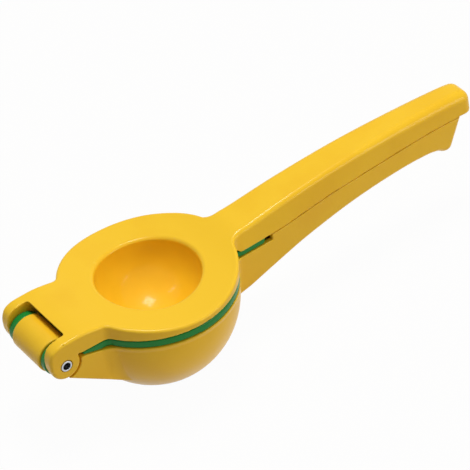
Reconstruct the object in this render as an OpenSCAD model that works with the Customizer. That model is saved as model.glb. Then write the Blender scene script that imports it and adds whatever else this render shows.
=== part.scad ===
// Hinged citrus squeezer with a removable-size lime insert between its two arms.
// Frame: origin on the hinge axis, midway between the ears. +X runs along the handles,
// +Z points out of the cups, and the hinge axis is Y. The squeezer is shown closed.

/* [Overall] */
// Distance from the hinge axis to the centre of the cups
cup_x = 51; // [48:0.5:56]
// Distance from the hinge axis to the end of the upper handle
reach = 210.3; // [195:0.1:225]
// Outside radius of the ring and of both flanges
ring_r = 36.3; // [34.5:0.1:38]

/* [Arm outline] */
// Half the width of the necks beside the hinge
neck_half = 18.1; // [17.5:0.1:19]
// Half the width of the upper handle's top where it leaves the ring
handle_half = 8.5; // [7.5:0.1:10]
// Half the width of its top at its end
tip_half = 6.1; // [5.2:0.1:7.5]
// How much further out the handles' sides are where the arms meet, at the ring
root_flare = 1.8; // [1:0.1:2.4]
// The same at the handle's end
tip_flare = 0.6; // [0.2:0.1:1]
// Radius of the inside corner between neck and ring
neck_blend = 3.5; // [2:0.5:5]
// Radius of the inside corner between ring and handle
handle_blend = 5; // [3:0.5:8]
// Radius of the corners at the handle ends, seen from above
tip_corner = 4; // [2.5:0.5:5]

/* [Heights] */
// Height of the neck's top above the hinge axis
neck_top = 10.9; // [10.2:0.1:12]
// Height of the ring's top at its sides
ring_top = 5.2; // [5:0.1:6.5]
// Height of the upper handle's top at its highest
crest_top = 16.2; // [15:0.1:19]
// Height of the upper arm's lower edge round the ring
skirt_z = 2.9; // [2.6:0.1:3.2]
// Thickness of the insert's flange
flange_t = 4; // [3.4:0.1:4.6]
// Thickness of the insert's tongue
tongue_t = 2.6; // [2:0.1:3]
// Gap between the closed arms and the insert's flange
closed_gap = 0.15; // [0.1:0.05:0.3]
// Height of the line where the two handles meet, at its highest
parting_top = 6.1; // [5.5:0.1:7]
// Gap between the closed handles
handle_gap = 0.3; // [0.2:0.05:0.5]
// Lowest point of the slim part of the lower handle
waist_z = -4.9; // [-6:0.1:-4]
// Lowest point of the lower handle's toe
toe_z = -8.8; // [-10:0.1:-7.5]
// Overhang of the upper handle past the toe
hood = 5.7; // [4.5:0.1:8]

/* [Walls] */
// Top wall of the upper handle and plate of the neck
plate_t = 2.8; // [2.2:0.1:3]
// Side walls of the handles
side_t = 2.4; // [2:0.1:3]
// Rounding of the top edge round the ring
ring_edge = 1.3; // [0.8:0.1:1.8]
// Rounding of the top edges at the handle's end
tip_edge = 4.2; // [3:0.1:5]
// Rounding of the lower handle's bottom edges
toe_edge = 2.2; // [1.2:0.1:2.6]

/* [Cups] */
// Inside radius of the pressing cup
press_r = 21.4; // [20:0.2:22]
// Height of the pressing cup's centre
press_z = 4; // [3:0.2:4.6]
// Wall of the pressing cup
press_t = 2.6; // [2:0.1:3]
// Inside radius of the lime cup
lime_r = 26; // [25.4:0.2:27]
// Wall of the lime cup
lime_t = 2.2; // [1.8:0.1:2.6]
// How much narrower than the ring the lemon cup's round part is, at its radius
lemon_step = 1.9; // [1.2:0.1:2.4]
// Depth of the lemon cup's centre under the hinge axis
lemon_z = -7.4; // [-9:0.1:-6]
// Wall of the lemon cup
lemon_t = 2.8; // [2.4:0.1:3.2]

/* [Drain slots] */
// Width of a drain slot
slot_w = 2.4; // [1.8:0.2:3]
// Slots in the outer ring of each cup
slot_count = 12; // [8:1:14]
// Length of a slot in the lemon cup
lemon_slot = 9; // [6:0.5:11]
// Length of a slot in the lime cup
lime_slot = 7; // [5:0.5:8]

/* [Hinge] */
// Radius of the hinge pin
pin_r = 2; // [1.8:0.1:2.4]
// Radius of the hole through the pin
pin_bore_r = 1.4; // [1:0.1:1.5]
// Radius of the rolled rim at each end of the pin
rim_r = 2.4; // [2.3:0.1:2.8]
// Depth of the seat of the rolled rim in the ear
rim_seat = 0.7; // [0.4:0.1:1]
// Radius of the central barrel
barrel_r = 7.65; // [7.2:0.05:7.9]
// Half the width of the central barrel
barrel_half = 9.6; // [9:0.1:10]
// Width of one knuckle of the insert
knuckle_w = 3.75; // [3.4:0.05:4]
// Side gap between neighbours on the pin
side_gap = 0.15; // [0.1:0.05:0.25]
// Radius of the ears round the pin
ear_r = 6.4; // [6:0.1:6.6]
// Radial clearance of the barrel and the knuckles on the pin
run_fit = 0.05; // [0.03:0.01:0.08]
// Radial clearance of the pin in the ears
press_fit = 0.01; // [0.01:0.005:0.02]
// Gap round turning parts of the hinge
turn_gap = 0.35; // [0.3:0.05:0.5]

/* [Hidden] */
$fn = 72;
eps = 0.01;
far = 300;

// Levels of the closed squeezer, from top to bottom
insert_top = skirt_z - closed_gap;
insert_bottom = insert_top - flange_t;
rim_z = insert_bottom - closed_gap;
lemon_r = ring_r - lemon_step;
dip_z = skirt_z - flange_t + tongue_t;
tongue_top = dip_z - closed_gap;
tongue_bottom = tongue_top - tongue_t;

// Hinge stack along Y, from the middle out: barrel, knuckle, ear
knuckle_in = barrel_half + side_gap;
knuckle_out = knuckle_in + knuckle_w;
ear_in = knuckle_out + side_gap;
ear_t = neck_half - ear_in;

// Inside corners of the outline, seen from above
neck_end = cup_x - ring_r - 5;
neck_cx = cup_x - sqrt(pow(ring_r + neck_blend, 2) - pow(neck_half + neck_blend, 2));
neck_ring_x = cup_x - (cup_x - neck_cx) * ring_r / (ring_r + neck_blend);
handle_cx = cup_x + sqrt(pow(ring_r + handle_blend, 2) - pow(handle_half + handle_blend, 2));
ring_handle_x = cup_x + (handle_cx - cup_x) * ring_r / (ring_r + handle_blend);
root_x = cup_x + ring_r;
toe_x = reach - hood;

// Place along the handle, from 0 where the ring ends to 1 at the upper handle's end
function along(f) = root_x + f * (reach - root_x);

// Smooth curve through a short list of [x, z] points
function slope(p, i) =
    let (a = max(i - 1, 0), b = min(i + 1, len(p) - 1)) (p[b].y - p[a].y) / (p[b].x - p[a].x);
function span(p, x, i = 0) = i >= len(p) - 2 || x < p[i + 1].x ? i : span(p, x, i + 1);
function curve(p, x) =
    let (i = span(p, x), d = p[i + 1].x - p[i].x, t = min(max((x - p[i].x) / d, 0), 1))
    p[i].y * (2 * t ^ 3 - 3 * t ^ 2 + 1) + slope(p, i) * d * (t ^ 3 - 2 * t ^ 2 + t)
    + p[i + 1].y * (3 * t ^ 2 - 2 * t ^ 3) + slope(p, i + 1) * d * (t ^ 3 - t ^ 2);

// Half the width of the arms at x, the same for both arms and the insert
function plain_half(x) =
    x < neck_cx ? neck_half
    : x < neck_ring_x ? neck_half + neck_blend - sqrt(max(neck_blend ^ 2 - (x - neck_cx) ^ 2, 0))
    : x < ring_handle_x ? sqrt(ring_r ^ 2 - (x - cup_x) ^ 2)
    : x < handle_cx ? handle_half + handle_blend - sqrt(handle_blend ^ 2 - (handle_cx - x) ^ 2)
    : handle_half + (tip_half - handle_half) * (x - handle_cx) / (reach - handle_cx);
// How much further out the handle's side is where the arms meet than at its top
function flare(x) =
    let (t = min(max((x - ring_handle_x) / (handle_cx - ring_handle_x), 0), 1))
    t * t * (3 - 2 * t) * (root_flare + (tip_flare - root_flare) * (x - handle_cx) / (reach - handle_cx));
function meet_half(x) = plain_half(x) + flare(x);
function corner_cut(x, end) = tip_corner - sqrt(max(tip_corner ^ 2 - max(x - end + tip_corner, 0) ^ 2, 0));
function half_width(x, end = reach) = plain_half(x) - corner_cut(x, end);

// Heights along the arms: curves through [x, height]
front_x = -ear_r - 0.35;
crest = [[front_x, neck_top - 6.6], [front_x + 0.25, neck_top - 5.3], [front_x + 0.75, neck_top - 3.8],
         [front_x + 1.75, neck_top - 2], [front_x + 2.95, neck_top - 0.8], [front_x + 4.5, neck_top - 0.2],
         [0, neck_top], [neck_end, neck_top], [cup_x - 0.68 * ring_r, (neck_top + ring_top) / 2],
         [cup_x, ring_top], [cup_x + 0.65 * ring_r, ring_top + 1.2], [along(0.02), ring_top + 4.4],
         [along(0.07), ring_top + 5], [along(0.25), crest_top - 3.1], [along(0.48), crest_top - 0.8],
         [along(0.71), crest_top], [along(0.92), crest_top - 0.4], [reach, crest_top - 1.4]];
notch_x = along(0.138);
parting = [[root_x, skirt_z], [root_x + 1.2, dip_z + 0.1], [root_x + 2.2, dip_z], [notch_x - 2, dip_z],
           [notch_x, dip_z], [along(0.22), dip_z + 0.8],
           [along(0.38), parting_top - 2.1], [along(0.6), parting_top - 0.85], [along(0.8), parting_top],
           [reach, parting_top - 0.8]];
underside = [[cup_x + 15, rim_z - 23.8], [cup_x + 25, rim_z - 21.8], [root_x - 3, rim_z - 19.8],
             [root_x + 0.5, rim_z - 18.9], [root_x + 5, rim_z - 17.9], [root_x + 9, rim_z - 16.7],
             [along(0.145), rim_z - 14.1], [along(0.25), rim_z - 10.5], [along(0.35), rim_z - 7.9],
             [along(0.454), waist_z - 2.2], [along(0.56), waist_z - 0.8], [along(0.66), waist_z - 0.1],
             [along(0.73), waist_z], [along(0.78), waist_z - 0.3], [along(0.815), waist_z - 0.6],
             [along(0.84), waist_z - 1], [along(0.876), waist_z - 1.9], [along(0.916), toe_z + 0.6],
             [toe_x, toe_z]];
edge = [[0, ring_edge], [cup_x + ring_r / 2, ring_edge], [along(0.1), ring_edge + 0.5],
        [along(0.5), ring_edge + 1.2], [along(0.8), tip_edge - 0.6], [reach, tip_edge]];
function top_z(x) = curve(crest, x);
function skirt(x) = x < root_x ? skirt_z : curve(parting, x);
function under_z(x) = curve(underside, x);

// Underside of the upper arm: round the pin, then a step up to the skirt
function ear_z(x) =
    x < 0.1 - ear_r ? -sqrt(ear_r ^ 2 - (ear_r - 0.1) ^ 2) + 6 * (0.1 - ear_r - x)
    : x < ear_r ? -sqrt(ear_r ^ 2 - x ^ 2) : skirt(x);

// Outside radius of the lemon cup at height z, and half the lower arm's width where the cup
// of radius r blends into the handle
function cup_r(z) = z > lemon_z ? lemon_r + (ring_r - lemon_r) * min((z - lemon_z) / (rim_z - lemon_z), 1)
    : sqrt(lemon_r ^ 2 - (z - lemon_z) ^ 2);
function blend_half(x, r, end) =
    let (half = handle_half + root_flare, run = sqrt((r + handle_blend) ^ 2 - (half + handle_blend) ^ 2),
         from = cup_x + run * r / (r + handle_blend), to = cup_x + run, q = max(x, from))
    q < to ? half + handle_blend - sqrt(handle_blend ^ 2 - (to - q) ^ 2)
    : q < handle_cx ? half : meet_half(q) - corner_cut(q, end);

// The lower handle's end leans back under the hood
function lean(x) = let (t = min(max((x - toe_x + 26) / 26, 0), 1)) 0.45 * t * t * (3 - 2 * t);

// Where the arms are cut into sections: close together where the outline turns
function fan(a, b, n) = [for (k = [0:n - 1]) a + (b - a) * k / n];
ring_stations = [for (k = [0:25])
    let (a = acos((neck_ring_x - cup_x) / ring_r), b = acos((ring_handle_x - cup_x) / ring_r))
    cup_x + ring_r * cos(a + (b - a) * k / 26)];
blend_stations = concat(fan(ring_handle_x, root_x, 3), fan(root_x, handle_cx, 4));
neck_stations = fan(neck_cx, neck_ring_x, 3);
function end_stations(end) = [for (a = [0:18:90]) end - tip_corner + (tip_corner - eps) * sin(a)];

// Arc of points in a plane
function arc(x, y, r, from, to, n) = [for (k = [0:n]) let (a = from + (to - from) * k / n)
    [x + r * cos(a), y + r * sin(a)]];

// Closed skin over equal rings of points, with flat ends
module skin(rings) {
    n = len(rings[0]);
    m = len(rings);
    polyhedron(
        points = [for (ring = rings) each ring],
        faces = concat(
            [[for (i = [0:n - 1]) i]],
            [for (j = [0:m - 2], i = [0:n - 1]) each
                [[j * n + i, (j + 1) * n + (i + 1) % n, j * n + (i + 1) % n],
                 [j * n + i, (j + 1) * n + i, (j + 1) * n + (i + 1) % n]]],
            [[for (i = [n - 1:-1:0]) (m - 1) * n + i]]),
        convexity = 8);
}

// Section of the upper arm at x: half width w at the top t and w + out at the bottom b,
// with its top edges rounded by r
function bar(x, w, out, b, t, r, n = 5) = [
    [x, w + out, b], each [for (q = arc(w - r, t - r, r, 0, 90, n)) [x, q.x, q.y]],
    each [for (q = arc(r - w, t - r, r, 90, 180, n)) [x, q.x, q.y]], [x, -w - out, b]];

// Section of the lower arm at x, set in by t all round, with its bottom edges rounded
function trough(x, top, t, edge_r, end, n = 4, levels = 5) =
    let (b = under_z(x) + t, least = max(blend_half(x, handle_half + root_flare + 1, end) - t, 1.2),
         r = min(edge_r, least - 0.4),
         wall = [for (k = [0:levels]) let (z = top + (b + r - top) * k / levels)
             [max(blend_half(x, cup_r(min(z, rim_z)), end) - t, 1.2), z]],
         w = wall[levels].x,
         half = concat(wall, [for (q = arc(w - r, b + r, r, 0, -90, n)) q]),
         back = lean(x), p = skirt(x))
    concat([for (q = half) [x - back * (p - q.y), -q.x, q.y]],
           [for (k = [len(half) - 1:-1:0]) [x - back * (p - half[k].y), half[k].x, half[k].y]]);

// Half disc of radius r round the height z, cut off at the height top
module half_disc(r, z, top) {
    intersection() {
        translate([0, z]) circle(r);
        translate([0, -far]) square([far, far + top]);
    }
}

// Upper arm -----------------------------------------------------------------
slot_x = 3.7;
ear_stations = concat([front_x, front_x + 0.2, front_x + 0.6, front_x + 1.3, front_x + 2.4, front_x + 3.8,
    -1.4, 0, 1.8], [slot_x, 4.8, 5.7, ear_r - 0.1, ear_r + 0.1, neck_end, neck_end + 4]);
press_stations = concat(ear_stations, neck_stations, ring_stations, blend_stations,
    fan(handle_cx, reach - tip_corner, 14), end_stations(reach));

module press_skin() {
    skin([for (x = press_stations)
        let (w = half_width(x), b = ear_z(x), t = top_z(x) - 0.6 * corner_cut(x, reach),
             r = min(curve(edge, x), w - 1, (t - b) * 0.4))
        bar(x, w, flare(x), b, t, r)]);
}

module press_hollow() {
    translate([cup_x, 0, 0])
        rotate_extrude() {
            half_disc(press_r, press_z, far);
            polygon([[0, press_z - 2], [sqrt(press_r ^ 2 - 4), press_z - 2], [press_r + 0.8, press_z + 8],
                     [press_r + 0.8, far], [0, far]]);
        }
}

// Room under the upper handle, between its side walls
module press_channel() {
    from = root_x - 3;
    to = reach - side_t;
    skin([for (x = concat(fan(from, handle_cx, 5), fan(handle_cx, to - tip_corner, 12),
                          [for (a = [0:30:90]) to - tip_corner + (tip_corner - eps) * sin(a)]))
        let (w = max(min(half_width(x, to), handle_half + 2) - side_t, 1.2), t = top_z(x) - plate_t,
             below = skirt(x) - 2, out = flare(x) * (t - below) / (top_z(x) - skirt(x)))
        bar(x, w, out, below, t - 0.5 * corner_cut(x, to), min(curve(edge, x), w - 0.5), 3)]);
}

// Slot between the ears, and the room under the neck for the knuckles
module neck_room() {
    translate([-far, -ear_in, -far]) cube([far + slot_x, 2 * ear_in, 2 * far]);
    translate([0, -ear_in, -far]) cube([cup_x - ring_r + 2, 2 * ear_in, far + neck_top - plate_t]);
}

module press_arm() {
    color("gold")
        difference() {
            union() {
                press_skin();
                translate([cup_x, 0, 0]) rotate_extrude() half_disc(press_r + press_t, press_z, skirt_z + 1);
            }
            press_hollow();
            press_channel();
            neck_room();
            rotate([90, 0, 0]) cylinder(h = 3 * neck_half, r = pin_r + press_fit, center = true);
            for (side = [0, 180])
                rotate([0, 0, side]) translate([0, -neck_half + rim_seat, 0])
                    rotate([90, 0, 0]) cylinder(h = 5, r = rim_r + 0.3);
        }
}

// Insert --------------------------------------------------------------------
tongue_x = notch_x - 2;
shoulder_x = ear_r + 1.8;
insert_in = 0.6;
tongue_corner = 3;
flange_stations = concat([shoulder_x, neck_end + 4], neck_stations, ring_stations,
    [for (a = [17.5:-3.5:3]) cup_x + (ring_r - insert_in) * cos(a)]);
tongue_stations = concat([cup_x], fan(ring_handle_x, tongue_x - tongue_corner, 6),
    [for (a = [0:18:90]) tongue_x - tongue_corner + (tongue_corner - eps) * sin(a)]);

// Half the width of the insert's flange: the arms' outline, closed by the ring's circle
function flange_half(x) =
    x < cup_x ? plain_half(x) - insert_in : sqrt((ring_r - insert_in) ^ 2 - (x - cup_x) ^ 2);
// Half the width of its tongue: the arms' outline, with rounded corners at the end
function tongue_half(x) = let (c = tongue_corner)
    meet_half(x) - insert_in - c + sqrt(max(c * c - max(x - tongue_x + c, 0) ^ 2, 0));

module plate(half, bottom, top) {
    translate([0, 0, bottom])
        linear_extrude(top - bottom)
            polygon(concat(half, [for (k = [len(half) - 1:-1:0]) [half[k].x, -half[k].y]]));
}

module insert() {
    color("forestgreen")
        difference() {
            union() {
                plate([for (x = flange_stations) [x, flange_half(x)]], insert_bottom, insert_top);
                plate([for (x = tongue_stations) [x, tongue_half(x)]], tongue_bottom, tongue_top);
                translate([cup_x, 0, 0]) rotate_extrude() half_disc(lime_r + lime_t, 0, insert_top);
                for (side = [-1, 1])
                    translate([0, side > 0 ? knuckle_out : -knuckle_in, 0])
                        rotate([90, 0, 0])
                            linear_extrude(knuckle_w) {
                                circle(barrel_r);
                                translate([0, insert_bottom]) square([shoulder_x + 3, flange_t]);
                            }
            }
            translate([cup_x, 0, 0])
                rotate_extrude() {
                    half_disc(lime_r, 0, 1);
                    polygon([[0, -1], [sqrt(lime_r ^ 2 - 1), -1], [lime_r + 0.5, insert_top],
                             [lime_r + 0.5, far], [0, far]]);
                }
            // the neck walls of the lower arm rise beside the flange
            for (side = [-1, 1])
                translate([0, side > 0 ? far : -ear_in + 2 * side_gap, 0])
                    rotate([90, 0, 0])
                        linear_extrude(far - ear_in + 2 * side_gap)
                            polygon([[-far, neck_rim + closed_gap], [neck_rim_x, neck_rim + closed_gap],
                                     [cup_x - ring_r + 2, insert_bottom],
                             [cup_x - ring_r + 2, insert_bottom - 1],
                                     [-far, insert_bottom - 1]]);
            drain_slots(lime_slot, lime_r * 0.36);
            rotate([90, 0, 0]) cylinder(h = 2 * knuckle_in, r = barrel_r + turn_gap, center = true);
            rotate([90, 0, 0]) cylinder(h = 3 * neck_half, r = pin_r + run_fit, center = true);
        }
}

// Radial slots with round ends through the floor of a cup, and a hole in the middle
module drain_slots(length, start) {
    h = far + rim_z - 8;
    translate([cup_x, 0, -far]) {
        for (k = [0:slot_count - 1])
            rotate([0, 0, k * 360 / slot_count]) {
                translate([start, 0, 0]) cylinder(h = h, d = slot_w);
                translate([start + length, 0, 0]) cylinder(h = h, d = slot_w);
                translate([start, -slot_w / 2, 0]) cube([length, slot_w, h]);
            }
        cylinder(h = h, d = 1.5 * slot_w);
    }
}

// Lower arm -----------------------------------------------------------------
neck_rim = rim_z + 2.1;
neck_rim_x = ear_r + 2.1;
neck_slope = 0.676;
function neck_low(x) = -6.05 - neck_slope * x;

module lower_handle() {
    skin([for (x = concat([cup_x + 14, cup_x + 22, cup_x + 28], fan(root_x - 4, along(0.14), 8),
                          fan(along(0.14), toe_x - tip_corner, 16), end_stations(toe_x)))
        trough(x, skirt(x) - handle_gap, 0, toe_edge, toe_x)]);
}

module lower_channel() {
    to = toe_x - side_t;
    skin([for (x = concat(fan(root_x - 1, along(0.14), 5), fan(along(0.14), to - tip_corner, 12),
                          [for (a = [0:30:90]) to - tip_corner + (tip_corner - eps) * sin(a)]))
        trough(x, skirt(x) + 5, side_t, toe_edge, to, 3, 1)]);
}

module lower_neck() {
    in_x = cup_x - 0.6 * ring_r;
    for (side = [-1, 1])
        translate([0, side > 0 ? neck_half : -ear_in, 0])
            rotate([90, 0, 0])
                linear_extrude(ear_t)
                    polygon([[0.6, neck_low(0.6)], [0.6, -2], [ear_r, neck_rim], [neck_rim_x, neck_rim],
                             [cup_x - ring_r + 2, rim_z], [in_x, rim_z], [in_x, neck_low(in_x)]]);
    translate([0, -ear_in - 1, -barrel_r + 0.4]) cube([in_x, 2 * ear_in + 2, barrel_r + rim_z - 0.8]);
    rotate([90, 0, 0]) cylinder(h = 2 * barrel_half, r = barrel_r, center = true);
}

module bowl_arm() {
    color("goldenrod")
        difference() {
            union() {
                translate([cup_x, 0, 0])
                    rotate_extrude() {
                        half_disc(lemon_r, lemon_z, rim_z);
                        polygon([[0, lemon_z], [lemon_r, lemon_z], [ring_r, rim_z], [0, rim_z]]);
                    }
                lower_handle();
                lower_neck();
            }
            translate([cup_x, 0, 0])
                rotate_extrude() {
                    half_disc(lemon_r - lemon_t, lemon_z, rim_z);
                    polygon([[0, lemon_z - 1], [sqrt((lemon_r - lemon_t) ^ 2 - 1), lemon_z - 1],
                             [lemon_r - lemon_t + 1, rim_z], [lemon_r - lemon_t + 1, far], [0, far]]);
                }
            lower_channel();
            // seat of the insert: ring and tongue
            translate([cup_x, 0, rim_z]) cylinder(h = far, r = ring_r + 0.3);
            translate([cup_x, -neck_half - 5, tongue_bottom - closed_gap])
                cube([notch_x - cup_x, 2 * neck_half + 10, far]);
            // room for the knuckles and the ears as they turn
            for (side = [-1, 1]) {
                translate([0, side * (barrel_half + ear_in) / 2, 0])
                    rotate([90, 0, 0])
                        cylinder(h = ear_in - barrel_half, r = barrel_r + turn_gap, center = true);
                translate([0, side * (ear_in + neck_half), 0])
                    rotate([90, 0, 0]) cylinder(h = 2 * neck_half, r = ear_r + turn_gap, center = true);
            }
            drain_slots(lemon_slot, lemon_r * 0.4);
            rotate([90, 0, 0]) cylinder(h = 3 * neck_half, r = pin_r + run_fit, center = true);
        }
}

// Hinge pin -----------------------------------------------------------------
module hinge_pin() {
    half = neck_half - rim_seat;
    rim = rim_seat + 0.1;
    color("silver")
        rotate([90, 0, 0])
            rotate_extrude()
                polygon([[pin_bore_r, -half - rim], [rim_r - 0.3, -half - rim], [rim_r, -half - rim + 0.3],
                         [rim_r, -half], [pin_r, -half], [pin_r, half], [rim_r, half],
                         [rim_r, half + rim - 0.3], [rim_r - 0.3, half + rim], [pin_bore_r, half + rim]]);
}

press_arm();
insert();
bowl_arm();
hinge_pin();
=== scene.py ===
"""Hinged citrus squeezer, closed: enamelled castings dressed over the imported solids.

Each casting is a distance in millimetres, negative inside, with edges as round as a casting's are.
It is meshed cell by cell, and the mesh's points are then evened out on the surface.
"""
import math

import bpy
import numpy as np
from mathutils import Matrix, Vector


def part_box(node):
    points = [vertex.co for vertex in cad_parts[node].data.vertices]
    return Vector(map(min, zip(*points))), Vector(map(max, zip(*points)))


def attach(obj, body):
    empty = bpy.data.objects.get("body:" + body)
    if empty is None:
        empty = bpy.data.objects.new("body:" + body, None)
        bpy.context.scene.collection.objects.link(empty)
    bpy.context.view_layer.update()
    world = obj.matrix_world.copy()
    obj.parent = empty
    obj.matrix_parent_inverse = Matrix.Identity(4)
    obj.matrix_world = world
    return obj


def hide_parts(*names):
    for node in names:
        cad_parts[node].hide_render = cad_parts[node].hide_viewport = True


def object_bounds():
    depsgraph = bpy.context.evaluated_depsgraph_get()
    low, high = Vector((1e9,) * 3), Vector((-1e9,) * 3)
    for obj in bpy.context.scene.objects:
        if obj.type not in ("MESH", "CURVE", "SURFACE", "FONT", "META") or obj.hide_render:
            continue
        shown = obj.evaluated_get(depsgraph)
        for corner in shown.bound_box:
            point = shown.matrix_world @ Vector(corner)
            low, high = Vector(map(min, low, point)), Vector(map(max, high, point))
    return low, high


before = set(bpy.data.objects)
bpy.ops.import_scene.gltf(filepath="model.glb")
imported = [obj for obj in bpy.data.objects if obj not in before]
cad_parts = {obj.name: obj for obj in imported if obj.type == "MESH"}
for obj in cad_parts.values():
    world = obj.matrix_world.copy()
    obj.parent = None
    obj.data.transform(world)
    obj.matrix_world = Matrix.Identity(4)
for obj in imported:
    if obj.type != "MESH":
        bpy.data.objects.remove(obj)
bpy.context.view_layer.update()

# ---------------------------------------------------------------- sizes, in millimetres
# X runs along the handles from the hinge's axis, Y across them, and Z up from that axis.

# the outline that the arms share, seen from above
CUP_X, RING_R, REACH = 51.0, 36.3, 210.3
NECK_HALF, HANDLE_HALF, TIP_HALF = 18.1, 8.5, 6.1
NECK_BLEND, HANDLE_BLEND, TIP_CORNER = 3.5, 5.0, 4.0
# how much wider the handle is where the arms meet than at its top
ROOT_FLARE, TIP_FLARE = 1.8, 0.6

# tops of the upper arm, and the planes where the castings meet
NECK_TOP, RING_TOP, CREST_TOP = 10.9, 5.2, 16.2
SKIRT_Z, SHADOW_GAP, FLANGE_T, GAP, NOTCH_DIP = 2.45, 0.75, 3.3, 0.25, 1.4
INSERT_TOP = SKIRT_Z - SHADOW_GAP
INSERT_BOTTOM = INSERT_TOP - FLANGE_T
RIM_Z = INSERT_BOTTOM - GAP
DIP_Z = SKIRT_Z - NOTCH_DIP
# the lower handle: where it meets the upper one, its waist, its toe and how far that is hooded
HANDLE_GAP, SEAT_GAP, PARTING_TOP, WAIST_Z, TOE_Z, HOOD = 0.3, 0.3, 6.1, -4.9, -9.2, 5.4
# its end leans back as it goes down, and LEAN_SCALE turns lengths along X into distances to it
LEAN, LEAN_RUN, LEAN_SCALE = 0.45, 26.0, 0.91

# walls of the two arms
PLATE_T, SIDE_T, CHANNEL_SPARE = 2.8, 2.4, 3.0
# pressing cup, cup for limes, and cup for lemons with its outside, which is an oval
PRESS_R, PRESS_Z, PRESS_T = 21.4, 4.0, 2.6
LIME_R, LIME_Z, LIME_T = 26.0, 0.0, 2.2
LEMON_R, LEMON_Z, LEMON_T, LEMON_FLARE = 34.4, -7.4, 2.8, 1.0
SHELL_R, SHELL_Z, SHELL_H = 35.7, -4.0, 38.4
# drain slots and the hole in their middle, which go through what lies under DRAIN_TOP
SLOTS, SLOT_W, DRAIN_TOP = 12, 2.4, -9.4
DRAIN_HOLE_R = 0.75 * SLOT_W
LEMON_SLOT_FROM, LEMON_SLOT = 0.4 * LEMON_R, 9.0
LIME_SLOT_FROM, LIME_SLOT = 0.36 * LIME_R, 7.0

# pin, barrel, knuckles and ears
PIN_R, PIN_BORE_R, BORE_BEVEL = 2.0, 1.65, 0.1
RIM_R, RIM_SEAT, RIM_PROUD, RIM_BULGE = 2.4, 0.7, 0.1, 0.25
TIGHT_FIT, RUNNING_FIT, RIM_FIT = 0.01, 0.05, 0.3
BARREL_R, BARREL_HALF, KNUCKLE_R, KNUCKLE_W, EAR_R = 7.65, 9.6, 6.9, 3.35, 6.4
SIDE_GAP, TURN_GAP, EAR_GAP = 0.15, 0.35, 0.42
KNUCKLE_IN = BARREL_HALF + SIDE_GAP
KNUCKLE_OUT = KNUCKLE_IN + KNUCKLE_W
EAR_IN = KNUCKLE_OUT + SIDE_GAP
KNUCKLE_MID = (KNUCKLE_IN + KNUCKLE_OUT) / 2
TAB_END = EAR_R + 5.0

# ears: the round front of their side view, and the slot behind the barrel with its undercut edge
EAR_FRONT_X, EAR_FRONT_Z, EAR_FRONT_R, EAR_FRONT_TO = 3.7, 3.2, 10.5, 3.0
SLOT_X, SLOT_LIP, SLOT_UNDERCUT = 3.7, 0.3, 0.7
# the neck's edge, and how much sharper it gets low down behind the ears
NECK_EDGE, SHARPER, SHARP_X, SHARP_RUN, SHARP_Z, SHARP_FALL = 1.3, 1.0, 6.0, 2.0, 5.0, 1.5
# middle casting: flange and tongue
INSERT_IN, FLANGE_FRONT, TONGUE_HALF, LIME_TOP = 0.6, EAR_R + 1.8, 1.3, 1.0
# lower neck: its walls rise beside the flange, with a web between them, and run into the cup
NECK_LOW, NECK_FALL = -6.6, 0.676
WALL_X, WALL_RISE, WALL_FROM = EAR_R + 2.1, 2.1, 0.6
WEB_TOP, WEB_BOTTOM, WEB_LAP = RIM_Z - 0.4, -7.25, 1.0

# radii: outside edges, corners, lips of the cups, and inside corners
HAIR_EDGE, SLOT_EDGE, FINE_EDGE, TURN_EDGE = 0.15, 0.2, 0.3, 0.4
CAST_EDGE, RIM_EDGE, LOW_EDGE, TOE_EDGE = 0.5, 0.6, 0.9, 2.2
SLOT_CORNER, CHANNEL_CORNER, TONGUE_CORNER, LOWER_CORNER, FRONT_CORNER = 1.2, 2.0, 3.0, 3.0, 3.0
PRESS_LIP, CUP_LIP = 1.6, 1.0
CUP_FILLET, WEB_FILLET, HINGE_FILLET, TAB_FILLET, KNUCKLE_FILLET = 1.5, 1.0, 0.8, 0.6, 0.4
# the fillet between the lower neck and the cup fades to WALL_FILLET along X
WALL_FILLET, FADING_FILLET, FADED_X, FADE_RUN = 0.5, 3.5, 27.0, 8.0

# where one form takes over from another, along X
ROOT_X, TOE_X = CUP_X + RING_R, REACH - HOOD
NECK_END, ARM_FROM, NECK_TO = CUP_X - RING_R - 5, 8.0, 12.0
RING_FRONT, WALL_END, WALL_TOP_END = CUP_X - RING_R + 2, CUP_X - 0.6 * RING_R, CUP_X - 5
LOWER_FROM, UPPER_CHANNEL, LOWER_CHANNEL = CUP_X + 15, ROOT_X - 3, ROOT_X - 1
NECK_RUN = math.sqrt((RING_R + NECK_BLEND) ** 2 - (NECK_HALF + NECK_BLEND) ** 2)
NECK_CX = CUP_X - NECK_RUN
NECK_RING_X = CUP_X - NECK_RUN * RING_R / (RING_R + NECK_BLEND)
HANDLE_RUN = math.sqrt((RING_R + HANDLE_BLEND) ** 2 - (HANDLE_HALF + HANDLE_BLEND) ** 2)
HANDLE_CX = CUP_X + HANDLE_RUN
RING_HANDLE_X = CUP_X + HANDLE_RUN * RING_R / (RING_R + HANDLE_BLEND)


def along(f):
    """X at a share of the handle's length, from the ring to the end."""
    return ROOT_X + f * (REACH - ROOT_X)


NOTCH_X = along(0.138)
TONGUE_END = NOTCH_X - 2

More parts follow.
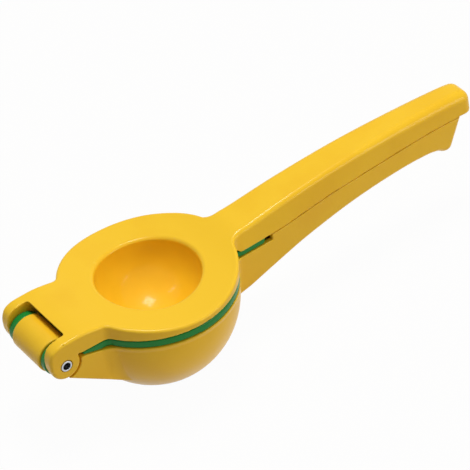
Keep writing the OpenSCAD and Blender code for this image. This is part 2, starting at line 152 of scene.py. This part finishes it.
# side views, as [x, height] points: top of the upper arm, where the arms meet, and the lower handle
CREST = [(-6.0, NECK_TOP), (0, NECK_TOP), (NECK_END, NECK_TOP),
         (CUP_X - 0.68 * RING_R, (NECK_TOP + RING_TOP) / 2), (CUP_X, RING_TOP),
         (CUP_X + 0.65 * RING_R, RING_TOP + 1.2), (along(0.02), RING_TOP + 4.4),
         (along(0.07), RING_TOP + 5), (along(0.25), CREST_TOP - 3.1), (along(0.48), CREST_TOP - 0.8),
         (along(0.71), CREST_TOP), (along(0.92), CREST_TOP - 0.4), (REACH, CREST_TOP - 1.4)]
PARTING = [(ROOT_X, SKIRT_Z), (ROOT_X + 1.2, DIP_Z + 0.1), (ROOT_X + 2.2, DIP_Z), (TONGUE_END, DIP_Z),
           (NOTCH_X, DIP_Z), (along(0.22), DIP_Z + 0.8),
           (along(0.38), PARTING_TOP - 2.1), (along(0.6), PARTING_TOP - 0.85), (along(0.8), PARTING_TOP),
           (REACH, PARTING_TOP - 0.8)]
UNDERSIDE = [(LOWER_FROM, -25.2), (CUP_X + 25, -23.2), (ROOT_X - 3, -21.2),
             (ROOT_X + 0.5, -20.3), (ROOT_X + 5, -19.3), (ROOT_X + 9, -18.1),
             (along(0.145), -15.5), (along(0.25), -11.9), (along(0.35), -9.3),
             (along(0.454), WAIST_Z - 2.2), (along(0.56), WAIST_Z - 0.8), (along(0.66), WAIST_Z - 0.1),
             (along(0.73), WAIST_Z), (along(0.78), WAIST_Z - 0.3), (along(0.815), WAIST_Z - 0.6),
             (along(0.84), WAIST_Z - 1), (along(0.876), WAIST_Z - 1.9), (along(0.916), TOE_Z + 0.6),
             (TOE_X, TOE_Z)]
# radius of the upper arm's top edge, as [x, radius] points
TOP_EDGE = [(0, 1.3), (CUP_X + RING_R / 2, 1.3), (along(0.1), 1.8), (along(0.5), 2.5),
            (along(0.8), 3.6), (REACH, 4.2)]


# ---------------------------------------------------------------- curves and distances
def curve(points, x):
    """Smooth curve through [x, height] points, the same one that shapes the solids."""
    px, pz = (np.array(v, float) for v in zip(*points))
    n = len(px)
    before, after = np.maximum(np.arange(n) - 1, 0), np.minimum(np.arange(n) + 1, n - 1)
    slope = (pz[after] - pz[before]) / (px[after] - px[before])
    i = np.clip(np.searchsorted(px, x, side="right") - 1, 0, n - 2)
    d = px[i + 1] - px[i]
    t = np.clip((x - px[i]) / d, 0, 1)
    return (pz[i] * (2 * t**3 - 3 * t**2 + 1) + slope[i] * d * (t**3 - 2 * t**2 + t)
            + pz[i + 1] * (3 * t**2 - 2 * t**3) + slope[i + 1] * d * (t**3 - t**2))


def over(value, x, step=0.05):
    """value(x) and 1 / sqrt(1 + slope squared), which turns a height over it into a distance."""
    slope = (value(x + step) - value(x - step)) / (2 * step)
    return value(x), 1 / np.sqrt(1 + slope**2)


def root(v):
    return np.sqrt(np.maximum(v, 0))


def plain_half(x):
    """Half the width of the arms, seen from above."""
    return np.select(
        [x < NECK_CX, x < NECK_RING_X, x < RING_HANDLE_X, x < HANDLE_CX],
        [NECK_HALF + 0 * x,
         NECK_HALF + NECK_BLEND - root(NECK_BLEND**2 - (x - NECK_CX) ** 2),
         root(RING_R**2 - (x - CUP_X) ** 2),
         HANDLE_HALF + HANDLE_BLEND - root(HANDLE_BLEND**2 - (HANDLE_CX - x) ** 2)],
        HANDLE_HALF + (TIP_HALF - HANDLE_HALF) * (x - HANDLE_CX) / (REACH - HANDLE_CX))


def flare(x):
    """How much further out the handle's side is where the arms meet than at its top."""
    t = np.clip((x - RING_HANDLE_X) / (HANDLE_CX - RING_HANDLE_X), 0, 1)
    full = ROOT_FLARE + (TIP_FLARE - ROOT_FLARE) * (x - HANDLE_CX) / (REACH - HANDLE_CX)
    return t * t * (3 - 2 * t) * full


def meet_half(x):
    """Half the width of the arms where they meet."""
    return plain_half(x) + flare(x)


def skirt(x):
    """Height at which the upper arm ends."""
    return np.where(x < ROOT_X, SKIRT_Z, curve(PARTING, x))


DEEP_INSIDE = -9            # where a cut has nothing to take away


def both(a, b, r=0.0):
    """Distance to what two shapes share, with the edge between them rounded by r."""
    return np.minimum(-r, np.maximum(a, b)) + np.hypot(np.maximum(a + r, 0), np.maximum(b + r, 0))


def either(a, b, r=0.0):
    """Distance to two shapes together, with the inside corner between them filled by r."""
    return -both(-a, -b, r)


def cut(a, b, r=0.0):
    """Distance to a with b taken out of it."""
    return both(a, -b, r)


def ball(x, y, z, r, zc):
    return np.sqrt((x - CUP_X) ** 2 + y**2 + (z - zc) ** 2) - r


def well(x, y, z, r, zc):
    """A round-bottomed well, open above its centre."""
    return np.where(z < zc, ball(x, y, z, r, zc), np.hypot(x - CUP_X, y) - r)


def slots(x, y, z, start, length):
    """Drain slots: a ring of radial ones and a round hole in the middle."""
    step = 2 * math.pi / SLOTS
    a = np.arctan2(y, x - CUP_X)
    a = a - step * np.round(a / step)
    rho = np.hypot(x - CUP_X, y)
    u, v = rho * np.cos(a), rho * np.sin(a)
    off = np.maximum(np.maximum(u - start - length, start - u), 0)
    ring = np.hypot(off, v) - SLOT_W / 2
    return np.maximum(np.minimum(ring, rho - DRAIN_HOLE_R), z - DRAIN_TOP)


def wall_top(x, z, base):
    """Height over the lower neck's walls, whose top falls by WALL_RISE to base at the ring."""
    fall = WALL_RISE / (RING_FRONT - WALL_X)
    rise = z - (base + WALL_RISE)
    return np.maximum(rise, (rise + fall * (x - WALL_X)) / math.hypot(1, fall))


# ---------------------------------------------------------------- upper arm
def press_neck(x, y, z, top, low):
    """Neck and ears: their side view, with the step behind the ear filled, as wide as the neck."""
    front = np.hypot(x - EAR_FRONT_X, z - EAR_FRONT_Z) - EAR_FRONT_R
    front = both(front, z - NECK_TOP, FRONT_CORNER)
    front = np.maximum(np.maximum(front, -z), x - EAR_FRONT_TO)
    side = np.minimum(front, np.maximum(np.maximum(z - top, low - z), -x))
    side = either(side, np.hypot(x, z) - EAR_R, HINGE_FILLET)
    sharp = np.clip((x - SHARP_X) / SHARP_RUN, 0, 1) * np.clip((SHARP_Z - z) / SHARP_FALL, 0, 1)
    return both(side, np.abs(y) - NECK_HALF, NECK_EDGE - SHARPER * sharp)


def press_arm(x, y, z):
    """Ring with the pressing cup, neck with its ears, and the handle, hollow from below."""
    ay = np.abs(y)
    half, half_scale = over(plain_half, x)
    top, top_scale = over(lambda v: curve(CREST, v), x)
    low = skirt(x)
    tilt = flare(x) / np.maximum(top - low, 1)
    out = half + tilt * np.clip(top - z, 0, top - low)
    side_scale = 1 / np.sqrt(1 / half_scale**2 + tilt**2)
    side = both((ay - out) * side_scale, x - REACH, TIP_CORNER)
    arm = both(side, (z - top) * top_scale, curve(TOP_EDGE, x))
    arm = both(arm, low - z, FINE_EDGE)
    neck = press_neck(x, y, z, top, low)
    arm = np.minimum(np.maximum(arm, ARM_FROM - x), np.maximum(neck, x - NECK_TO))
    cup = np.maximum(ball(x, y, z, PRESS_R + PRESS_T, PRESS_Z), z - PRESS_Z)
    arm = cut(either(arm, cup, CUP_FILLET), well(x, y, z, PRESS_R, PRESS_Z), PRESS_LIP)
    # the hollow of the handle, and the room in the neck for the middle casting's knuckles
    inner = np.minimum(out, HANDLE_HALF + CHANNEL_SPARE) - SIDE_T
    channel = both(ay - inner, x - (REACH - SIDE_T), CHANNEL_CORNER)
    channel = both(channel, (z - top) * top_scale + PLATE_T, CHANNEL_CORNER)
    arm = cut(arm, np.maximum(channel, UPPER_CHANNEL - x), CAST_EDGE)
    room = np.maximum(np.maximum(ay - EAR_IN, z - (NECK_TOP - PLATE_T)), x - RING_FRONT)
    arm = cut(arm, room, CAST_EDGE)
    # the slot behind the barrel has a sharp edge, undercut through the plate
    under = x - SLOT_X - SLOT_UNDERCUT * np.clip(NECK_TOP - SLOT_LIP - z, 0, PLATE_T)
    arm = cut(arm, both(ay - EAR_IN, under, SLOT_CORNER), SLOT_EDGE)
    hinge = np.hypot(x, z)
    arm = cut(arm, np.maximum(hinge - RIM_R - RIM_FIT, NECK_HALF - RIM_SEAT - ay), FINE_EDGE)
    return cut(arm, hinge - PIN_R - TIGHT_FIT)


# ---------------------------------------------------------------- middle casting
def knuckles(x, y, z, plate):
    """The two hinge knuckles, with a tab each that is as thick as the plate."""
    across = np.abs(np.abs(y) - KNUCKLE_MID) - KNUCKLE_W / 2
    knuckle = both(np.hypot(x, z) - KNUCKLE_R, across, CAST_EDGE)
    tab = np.maximum(np.maximum(both(plate, across, CAST_EDGE), -x), x - TAB_END)
    return either(knuckle, tab, TAB_FILLET)


def insert(x, y, z):
    """Flange with the cup for limes, the knuckles and the tongue, between the two arms."""
    ay = np.abs(y)
    half, half_scale = over(meet_half, x)
    neck = (ay - half) * half_scale + INSERT_IN
    side = np.where(x > CUP_X, np.hypot(x - CUP_X, y) - RING_R + INSERT_IN, neck)
    plate = np.abs(z - (INSERT_TOP + INSERT_BOTTOM) / 2) - FLANGE_T / 2
    body = both(side, plate, RIM_EDGE)
    body = both(body, FLANGE_FRONT - x, CAST_EDGE)
    tongue = both(neck, x - TONGUE_END, TONGUE_CORNER)
    tongue = both(tongue, np.abs(z - (DIP_Z - GAP + INSERT_BOTTOM) / 2) - TONGUE_HALF, CAST_EDGE)
    body = either(body, np.maximum(tongue, CUP_X - x), CAST_EDGE)
    cup = np.maximum(ball(x, y, z, LIME_R + LIME_T, LIME_Z), z - LIME_TOP)
    body = either(body, cup, CUP_FILLET)
    body = either(body, knuckles(x, y, z, plate), KNUCKLE_FILLET)
    body = cut(body, well(x, y, z, LIME_R, LIME_Z), CUP_LIP)
    beside = np.maximum(wall_top(x, z, INSERT_BOTTOM), EAR_IN - 2 * SIDE_GAP - ay)
    body = cut(body, np.maximum(beside, x - RING_FRONT), FINE_EDGE)
    body = cut(body, slots(x, y, z, LIME_SLOT_FROM, LIME_SLOT), FINE_EDGE)
    hinge = np.hypot(x, z)
    body = cut(body, np.maximum(hinge - BARREL_R - TURN_GAP, ay - KNUCKLE_IN), TURN_EDGE)
    return cut(body, hinge - PIN_R - RUNNING_FIT)


# ---------------------------------------------------------------- lower arm
def cup_r(z, least=0.12):
    """Outside radius of the lemon cup at height z, kept above zero below the cup."""
    cone = SHELL_R + (RING_R - SHELL_R) * np.clip((z - SHELL_Z) / (RIM_Z - SHELL_Z), 0, 1)
    oval = SHELL_R * np.sqrt(np.maximum(1 - ((z - SHELL_Z) / SHELL_H) ** 2, least))
    return np.where(z > SHELL_Z, cone, oval)


def shell(x, y, z):
    """Outside of the lemon cup: a little deeper than it is round, up to its rim."""
    rho = np.hypot(x - CUP_X, y)
    q = (z - SHELL_Z) * SHELL_R / SHELL_H
    far = np.maximum(np.hypot(rho, q), 1)
    oval = (far - SHELL_R) * far / np.maximum(np.hypot(rho, q * SHELL_R / SHELL_H), 1)
    return np.where(z < SHELL_Z, oval, rho - cup_r(z))


def blend_half(x, r):
    """Half the lower arm's width where a cup of radius r runs into the handle."""
    half = HANDLE_HALF + ROOT_FLARE
    run = np.sqrt((r + HANDLE_BLEND) ** 2 - (half + HANDLE_BLEND) ** 2)
    q = np.maximum(x, CUP_X + run * r / (r + HANDLE_BLEND))
    rounded = half + HANDLE_BLEND - root(HANDLE_BLEND**2 - (CUP_X + run - q) ** 2)
    return np.where(q < CUP_X + run, rounded, np.where(q < HANDLE_CX, half, meet_half(q)))


def lean(x):
    """How much the section through x leans back as it goes down."""
    t = np.clip((x - TOE_X + LEAN_RUN) / LEAN_RUN, 0, 1)
    return LEAN * t * t * (3 - 2 * t)


def lower_handle(x, y, z):
    """The lower handle, notched for the middle casting, and the channel that hollows it."""
    ay = np.abs(y)
    # the section that passes through this point starts at s, where the arms meet
    s = x
    for _ in range(3):
        s = x + lean(s) * np.maximum(skirt(s) - z, 0)
    r = cup_r(z)
    half, half_scale = over(lambda v: blend_half(v, r), s)
    low, low_scale = over(lambda v: curve(UNDERSIDE, np.maximum(v, LOWER_FROM)), s)
    side = both((ay - half) * half_scale, (s - TOE_X) * LEAN_SCALE, LOWER_CORNER)
    handle = both(side, (low - z) * low_scale, TOE_EDGE)
    handle = both(handle, z - skirt(s) + HANDLE_GAP, CAST_EDGE)
    handle = np.maximum(handle, LOWER_FROM - x)
    seat = np.maximum(np.hypot(x - CUP_X, y) - RING_R - SEAT_GAP, RIM_Z - z)
    notch = np.maximum(np.maximum(x - NOTCH_X, CUP_X - x), RIM_Z - z)
    handle = cut(handle, np.minimum(seat, notch), CAST_EDGE)
    end = (s - TOE_X + SIDE_T) * LEAN_SCALE
    channel = both((ay - half) * half_scale + SIDE_T, end, LOWER_CORNER)
    channel = both(channel, (low - z) * low_scale + SIDE_T, TOE_EDGE)
    return handle, np.maximum(channel, LOWER_CHANNEL - x)


def with_neck(body, x, y, z):
    """The cup and handle joined to the neck: two walls, and a web behind the barrel."""
    ay = np.abs(y)
    low_edge = (NECK_LOW - NECK_FALL * x - z) / math.hypot(1, NECK_FALL)
    top = np.minimum(wall_top(x, z, RIM_Z), z - RIM_Z)
    wall = both(ay - NECK_HALF, EAR_IN - ay, CAST_EDGE)
    wall = both(both(wall, low_edge, LOW_EDGE), top, CAST_EDGE)
    wall = np.maximum(np.maximum(wall, WALL_FROM - x), x - WALL_END)
    fillet = WALL_FILLET + FADING_FILLET * np.clip((FADED_X - x) / FADE_RUN, 0, 1)
    body = np.maximum(either(body, wall, fillet), np.where(x < WALL_TOP_END, top, DEEP_INSIDE))
    web = both(np.abs(z - (WEB_TOP + WEB_BOTTOM) / 2) - (WEB_TOP - WEB_BOTTOM) / 2, -x)
    web = np.maximum(np.maximum(web, ay - EAR_IN - WEB_LAP), x - WALL_END)
    return either(body, web, WEB_FILLET)


def bowl_arm(x, y, z):
    """Cup for lemons, neck with the hinge's barrel, and the handle, hollow from above."""
    ay = np.abs(y)
    handle, channel = lower_handle(x, y, z)
    cup = both(shell(x, y, z), z - RIM_Z, RIM_EDGE)
    body = with_neck(either(cup, handle, CUP_FILLET), x, y, z)
    # room for the knuckles beside the barrel and for the ears, then the barrel
    hinge = np.hypot(x, z)
    turn = np.maximum(hinge - BARREL_R - TURN_GAP, np.maximum(BARREL_HALF - ay, ay - EAR_IN))
    body = cut(body, turn, TURN_EDGE)
    body = cut(body, np.maximum(hinge - EAR_R - EAR_GAP, EAR_IN - ay), HAIR_EDGE)
    barrel = both(hinge - BARREL_R, ay - BARREL_HALF, RIM_EDGE)
    body = either(body, barrel, HINGE_FILLET)
    widening = LEMON_FLARE * (z - LEMON_Z) / (RIM_Z - LEMON_Z)
    inside = np.where(z < LEMON_Z, ball(x, y, z, LEMON_R - LEMON_T, LEMON_Z),
                      np.hypot(x - CUP_X, y) - (LEMON_R - LEMON_T) - widening)
    body = cut(body, inside, CUP_LIP)
    body = cut(body, channel, CAST_EDGE)
    body = cut(body, slots(x, y, z, LEMON_SLOT_FROM, LEMON_SLOT), FINE_EDGE)
    return cut(body, hinge - PIN_R - RUNNING_FIT)


# ---------------------------------------------------------------- from distances to meshes
CORNERS = np.array([(i, j, k) for i in (0, 1) for j in (0, 1) for k in (0, 1)])
CELL_EDGES = [(a, b) for a in range(8) for b in range(a + 1, 8)
              if np.abs(CORNERS[a] - CORNERS[b]).sum() == 1]
GRID_MARGIN = 2.3           # cells around the node's box
TINY = 1e-9                 # keeps a divisor from zero
EVEN_ROUNDS = 3


def slope_of(shape, p, h=0.02):
    """Gradient of a distance at points p."""
    g = np.empty_like(p)
    for axis in range(3):
        step = np.zeros(3)
        step[axis] = h
        a, b = p + step, p - step
        g[:, axis] = (shape(a[:, 0], a[:, 1], a[:, 2]) - shape(b[:, 0], b[:, 1], b[:, 2])) / (2 * h)
    return g


def settle(shape, p, cell, steps=3, flattest=0.05, longest=0.4):
    """Moves points on to the surface, by no more than a share of a cell in each step."""
    for _ in range(steps):
        g = slope_of(shape, p)
        f = shape(p[:, 0], p[:, 1], p[:, 2])
        size = np.maximum((g * g).sum(1), flattest)
        move = -(f / size)[:, None] * g
        far = np.linalg.norm(move, axis=1, keepdims=True)
        p = p + move * np.minimum(1, longest * cell / np.maximum(far, TINY))
    return p


def crossed_cells(f):
    """Cells of the grid f that the surface crosses, and the mean of its crossings in each."""
    solid = f < 0
    nx, ny, nz = (n - 1 for n in f.shape)
    count = np.zeros((nx, ny, nz), np.int8)
    for i, j, k in CORNERS:
        count += solid[i:nx + i, j:ny + j, k:nz + k]
    cells = np.argwhere((count > 0) & (count < 8))
    values = np.stack([f[tuple((cells + c).T)] for c in CORNERS], 1)
    total, hits = np.zeros((len(cells), 3)), np.zeros(len(cells))
    for a, b in CELL_EDGES:
        va, vb = values[:, a], values[:, b]
        cross = (va < 0) != (vb < 0)
        t = np.where(cross, va / np.where(cross, va - vb, 1), 0)[:, None]
        total += cross[:, None] * (CORNERS[a] + t * (CORNERS[b] - CORNERS[a]))
        hits += cross
    return cells, total / hits[:, None]


def net(solid, cells):
    """A quad for each grid line that the surface crosses, between the four cells around it."""
    size = [n - 1 for n in solid.shape]
    index = np.full(size, -1, np.int64)
    index[tuple(cells.T)] = np.arange(len(cells))
    quads = []
    for axis in range(3):
        here = [slice(1, n) for n in size]
        here[axis] = slice(0, size[axis])
        ahead = list(here)
        ahead[axis] = slice(1, size[axis] + 1)
        a, b = solid[tuple(here)], solid[tuple(ahead)]
        at = np.argwhere(a != b)
        filled = a[tuple(at.T)]
        at = at + [0 if k == axis else 1 for k in range(3)]
        du, dv = np.eye(3, dtype=int)[(axis + 1) % 3], np.eye(3, dtype=int)[(axis + 2) % 3]
        ring = np.stack([index[tuple((at - o).T)] for o in (du + dv, dv, 0 * du, du)], 1)
        ring[~filled] = ring[~filled][:, ::-1]
        quads.append(ring)
    quads = np.concatenate(quads)
    return quads[(quads >= 0).all(1)]


def even_out(shape, points, quads, cell):
    """Moves each point half way to the mean of its neighbours, and back on to the surface."""
    pairs = np.concatenate([quads[:, [k, (k + 1) % 4]] for k in range(4)])
    share = np.bincount(pairs.ravel(), minlength=len(points))[:, None]
    for _ in range(EVEN_ROUNDS):
        mean = np.stack([np.bincount(pairs[:, 0], points[pairs[:, 1], k], len(points))
                         + np.bincount(pairs[:, 1], points[pairs[:, 0], k], len(points))
                         for k in range(3)], 1) / np.maximum(share, 1)
        points = settle(shape, 0.5 * (points + mean), cell, 2)
    return points


def casting(name, shape, node, cell):
    """Smooth mesh of a distance's surface, in and around the node's box."""
    lo, hi = (np.array(v) * 1000 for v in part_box(node))
    lo, hi = lo - GRID_MARGIN * cell, hi + GRID_MARGIN * cell
    axes = [np.arange(lo[k], hi[k] + cell, cell) for k in range(3)]
    f = shape(axes[0][:, None, None], axes[1][None, :, None], axes[2][None, None, :])
    cells, crossing = crossed_cells(f)
    quads = net(f < 0, cells)
    points = settle(shape, lo + cell * (cells + crossing), cell)
    points = even_out(shape, points, quads, cell)
    normals = slope_of(shape, points)
    normals /= np.maximum(np.linalg.norm(normals, axis=1, keepdims=True), TINY)
    return mesh_object(name, points * 0.001, quads, normals)


def mesh_object(name, points, faces, normals=None):
    """Object of smooth faces, in metres, in the scene."""
    mesh = bpy.data.meshes.new(name)
    mesh.from_pydata(np.asarray(points).tolist(), [], np.asarray(faces).tolist())
    mesh.polygons.foreach_set("use_smooth", [True] * len(mesh.polygons))
    mesh.update()
    if normals is not None:
        mesh.normals_split_custom_set_from_vertices(normals.tolist())
    obj = bpy.data.objects.new(name, mesh)
    bpy.context.scene.collection.objects.link(obj)
    return obj


def lathe(name, profile, turns=96):
    """Turned piece about the Y axis from [radius, y] points, in millimetres, closed on itself."""
    n = len(profile)
    points = [(r * math.cos(a) / 1000, y / 1000, r * math.sin(a) / 1000)
              for a in (2 * math.pi * t / turns for t in range(turns)) for r, y in profile]
    faces = [(t * n + i, t * n + (i + 1) % n, (t + 1) % turns * n + (i + 1) % n, (t + 1) % turns * n + i)
             for t in range(turns) for i in range(n)]
    return mesh_object(name, points, faces)


def arc(cx, cy, r, start, end, n=8):
    """Points of an arc between two angles, in degrees."""
    angles = [math.radians(start + (end - start) * k / n) for k in range(n + 1)]
    return [(cx + r * math.cos(a), cy + r * math.sin(a)) for a in angles]


def pin_profile():
    """Half section of the hollow rivet, whose ends are rolled out over the ears."""
    seat, end = NECK_HALF - RIM_SEAT, NECK_HALF + RIM_PROUD
    rim = arc(RIM_R - RIM_BULGE, end - RIM_BULGE, RIM_BULGE, 0, 90)
    bevel = arc(PIN_BORE_R + BORE_BEVEL, end - BORE_BEVEL, BORE_BEVEL, 90, 180)
    one = [(PIN_R, 0), (PIN_R, seat), (RIM_R, seat)] + rim + bevel + [(PIN_BORE_R, 0)]
    return one + [(r, -y) for r, y in reversed(one[1:-1])]


# ---------------------------------------------------------------- materials
def nodes_for(name):
    """An empty material with its tree and its Principled shader."""
    mat = bpy.data.materials.new(name)
    mat.use_nodes = True
    tree = mat.node_tree
    tree.nodes.clear()
    out = tree.nodes.new("ShaderNodeOutputMaterial")
    shader = tree.nodes.new("ShaderNodeBsdfPrincipled")
    tree.links.new(shader.outputs[0], out.inputs[0])
    return mat, tree, shader


def noise(tree, place, scale, detail):
    node = tree.nodes.new("ShaderNodeTexNoise")
    node.inputs["Scale"].default_value = scale
    node.inputs["Detail"].default_value = detail
    tree.links.new(place, node.inputs["Vector"])
    return node.outputs["Fac"]


def ramp(tree, source, stops):
    node = tree.nodes.new("ShaderNodeValToRGB")
    while len(node.color_ramp.elements) < len(stops):
        node.color_ramp.elements.new(0.5)
    for element, (at, colour) in zip(node.color_ramp.elements, stops):
        element.position, element.color = at, (*colour, 1)
    tree.links.new(source, node.inputs[0])
    return node.outputs[0]


def grey(level):
    return (level,) * 3


def bump(tree, height, strength, distance, below=None):
    """Fine relief of that height, on top of the relief below."""
    node = tree.nodes.new("ShaderNodeBump")
    node.inputs["Strength"].default_value = strength
    node.inputs["Distance"].default_value = distance
    tree.links.new(height, node.inputs["Height"])
    if below is not None:
        tree.links.new(below, node.inputs["Normal"])
    return node.outputs["Normal"]


def enamel(name, colour, edge_highlight_colour, deep):
    """Baked enamel on cast metal: uneven film, with a painted highlight that makes convex edges paler,
    under a glossy skin.
    """
    mat, tree, shader = nodes_for(name)
    place = tree.nodes.new("ShaderNodeTexCoord").outputs["Object"]
    film = ramp(tree, noise(tree, place, 38, 3), [(0.32, deep), (0.5, colour), (0.7, colour)])
    shape = tree.nodes.new("ShaderNodeNewGeometry")
    # painted highlight: convex edges, found by Pointiness, are mixed towards a paler colour
    edge_highlight_mask = ramp(tree, shape.outputs["Pointiness"], [(0.515, grey(0)), (0.56, grey(1))])
    highlight_share = tree.nodes.new("ShaderNodeMath")
    highlight_share.operation = "MULTIPLY"
    highlight_share.inputs[1].default_value = 0.35
    tree.links.new(edge_highlight_mask, highlight_share.inputs[0])
    mix = tree.nodes.new("ShaderNodeMix")
    mix.data_type = "RGBA"
    tree.links.new(highlight_share.outputs[0], mix.inputs["Factor"])
    tree.links.new(film, mix.inputs["A"])
    mix.inputs["B"].default_value = (*edge_highlight_colour, 1)
    tree.links.new(mix.outputs["Result"], shader.inputs["Base Color"])
    rough = ramp(tree, noise(tree, place, 60, 2), [(0.3, grey(0.30)), (0.7, grey(0.38))])
    tree.links.new(rough, shader.inputs["Roughness"])
    peel = bump(tree, noise(tree, place, 420, 1), 0.05, 0.0004)
    waves = bump(tree, noise(tree, place, 110, 1), 0.06, 0.0012, peel)
    tree.links.new(waves, shader.inputs["Normal"])
    shader.inputs["Specular IOR Level"].default_value = 0.1
    shader.inputs["Coat Weight"].default_value = 0.22
    shader.inputs["Coat Roughness"].default_value = 0.1
    shader.inputs["Coat IOR"].default_value = 1.5
    return mat


def steel(name):
    """Drawn steel tube, with its grain along the pin."""
    mat, tree, shader = nodes_for(name)
    stretch = tree.nodes.new("ShaderNodeMapping")
    stretch.inputs["Scale"].default_value = (1.0, 0.08, 1.0)
    tree.links.new(tree.nodes.new("ShaderNodeTexCoord").outputs["Object"], stretch.inputs["Vector"])
    grain = noise(tree, stretch.outputs["Vector"], 1800, 3)
    tone = ramp(tree, grain, [(0.3, (0.42, 0.44, 0.48)), (0.7, (0.62, 0.64, 0.67))])
    tree.links.new(tone, shader.inputs["Base Color"])
    rough = ramp(tree, grain, [(0.3, grey(0.26)), (0.7, grey(0.4))])
    tree.links.new(rough, shader.inputs["Roughness"])
    shader.inputs["Metallic"].default_value = 1.0
    tree.links.new(bump(tree, grain, 0.08, 0.0002), shader.inputs["Normal"])
    return mat


# the second colour of each enamel is its painted edge highlight
YELLOW = enamel("yellow_enamel", (0.94, 0.575, 0.022), (0.96, 0.65, 0.06), (0.915, 0.54, 0.018))
GREEN = enamel("green_enamel", (0.008, 0.25, 0.038), (0.02, 0.31, 0.065), (0.007, 0.22, 0.032))
STEEL = steel("pin_steel")

# ---------------------------------------------------------------- the pieces
CELL = 0.5
for name, shape, node, body, mat, slot in (
        ("press_casting", press_arm, "press_arm", "upper", YELLOW, "yellow_enamel"),
        ("insert_casting", insert, "insert", "middle", GREEN, "green_enamel"),
        ("bowl_casting", bowl_arm, "bowl_arm", "lower", YELLOW, "yellow_enamel")):
    piece = casting(name, shape, node, CELL)
    piece.data.materials.append(mat)
    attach(piece, body)
    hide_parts(node)

pin = lathe("pin_rivet", pin_profile())
pin.data.materials.append(STEEL)
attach(pin, "upper")
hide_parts("hinge_pin")

# ---------------------------------------------------------------- floor, light and camera
FLOOR_Z, FLOOR_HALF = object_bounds()[0][2], 3.0
FLOOR_COLOUR, FLOOR_WHITE, WORLD_LIGHT = (0.58, 0.53, 0.47, 1), 0.97, 0.3
# the camera that the photograph was taken with, as solved from it: focal length in its pixels
PHOTO_PX, FOCAL_PX, SENSOR_MM = 470, 3000, 36
CAMERA_AT, CAMERA_TURN = (-0.3707, -0.79244, 0.77649), (49.5442, 6.0448, -35.4597)


def seen_white(tree):
    """1 for rays from the camera, a reflection or a glass, which see the plain white backdrop."""
    path = tree.nodes.new("ShaderNodeLightPath")
    total = path.outputs["Is Camera Ray"]
    for ray in ("Is Glossy Ray", "Is Transmission Ray"):
        larger = tree.nodes.new("ShaderNodeMath")
        larger.operation = "MAXIMUM"
        tree.links.new(total, larger.inputs[0])
        tree.links.new(path.outputs[ray], larger.inputs[1])
        total = larger.outputs[0]
    return total


def paper():
    """White paper that keeps the object's shadow: a plain surface under a glow for seen rays."""
    mat, tree, shader = nodes_for("floor_paper")
    shader.inputs["Base Color"].default_value = FLOOR_COLOUR
    shader.inputs["Roughness"].default_value = 0.9
    shader.inputs["Specular IOR Level"].default_value = 0.0
    share = tree.nodes.new("ShaderNodeMath")
    share.operation = "MULTIPLY"
    share.inputs[1].default_value = FLOOR_WHITE
    tree.links.new(seen_white(tree), share.inputs[0])
    mix = tree.nodes.new("ShaderNodeMixShader")
    tree.links.new(share.outputs[0], mix.inputs[0])
    tree.links.new(shader.outputs[0], mix.inputs[1])
    tree.links.new(tree.nodes.new("ShaderNodeEmission").outputs[0], mix.inputs[2])
    tree.links.new(mix.outputs[0], tree.nodes["Material Output"].inputs[0])
    return mat


def studio_world():
    """Dim light on the object, and plain white behind it."""
    world = bpy.data.worlds.new("studio")
    world.use_nodes = True
    tree = world.node_tree
    tree.nodes.clear()
    out = tree.nodes.new("ShaderNodeOutputWorld")
    dim = tree.nodes.new("ShaderNodeBackground")
    dim.inputs["Strength"].default_value = WORLD_LIGHT
    white = tree.nodes.new("ShaderNodeBackground")
    choose = tree.nodes.new("ShaderNodeMixShader")
    tree.links.new(seen_white(tree), choose.inputs[0])
    tree.links.new(dim.outputs[0], choose.inputs[1])
    tree.links.new(white.outputs[0], choose.inputs[2])
    tree.links.new(choose.outputs[0], out.inputs[0])
    return world


def lamp(name, place, target, size, power, tint=(1, 1, 1)):
    data = bpy.data.lights.new(name, "AREA")
    data.shape, data.size, data.size_y, data.energy = "RECTANGLE", size[0], size[1], power
    data.color = tint
    obj = bpy.data.objects.new(name, data)
    bpy.context.scene.collection.objects.link(obj)
    obj.location = place
    obj.rotation_euler = (Vector(target) - Vector(place)).to_track_quat("-Z", "Y").to_euler()


floor = mesh_object("floor", [(-FLOOR_HALF, -FLOOR_HALF, FLOOR_Z), (FLOOR_HALF, -FLOOR_HALF, FLOOR_Z),
                              (FLOOR_HALF, FLOOR_HALF, FLOOR_Z), (-FLOOR_HALF, FLOOR_HALF, FLOOR_Z)],
                    [(0, 1, 2, 3)])
floor.data.materials.append(paper())

scene = bpy.context.scene
scene.world = studio_world()
lamp("top_softbox", place=(0.21, 0.06, 1.05), target=(0.08, 0, 0), size=(0.36, 0.36), power=7.8)
lamp("front_softbox", place=(0.78, -1.0, 0.3), target=(0.08, 0, 0), size=(0.6, 0.5), power=4.2,
     tint=(1.0, 0.93, 0.82))
lamp("back_strip", place=(-0.72, 0.4, 0.9), target=(0.05, 0, 0), size=(0.1, 0.4), power=0.8)

camera = bpy.data.objects.new("camera", bpy.data.cameras.new("camera"))
scene.collection.objects.link(camera)
camera.data.sensor_width = SENSOR_MM
camera.data.lens = FOCAL_PX / PHOTO_PX * SENSOR_MM
camera.data.clip_start, camera.data.clip_end = 0.05, 20
camera.location = CAMERA_AT
camera.rotation_euler = [math.radians(a) for a in CAMERA_TURN]
scene.camera = camera
scene.view_settings.view_transform = "Standard"
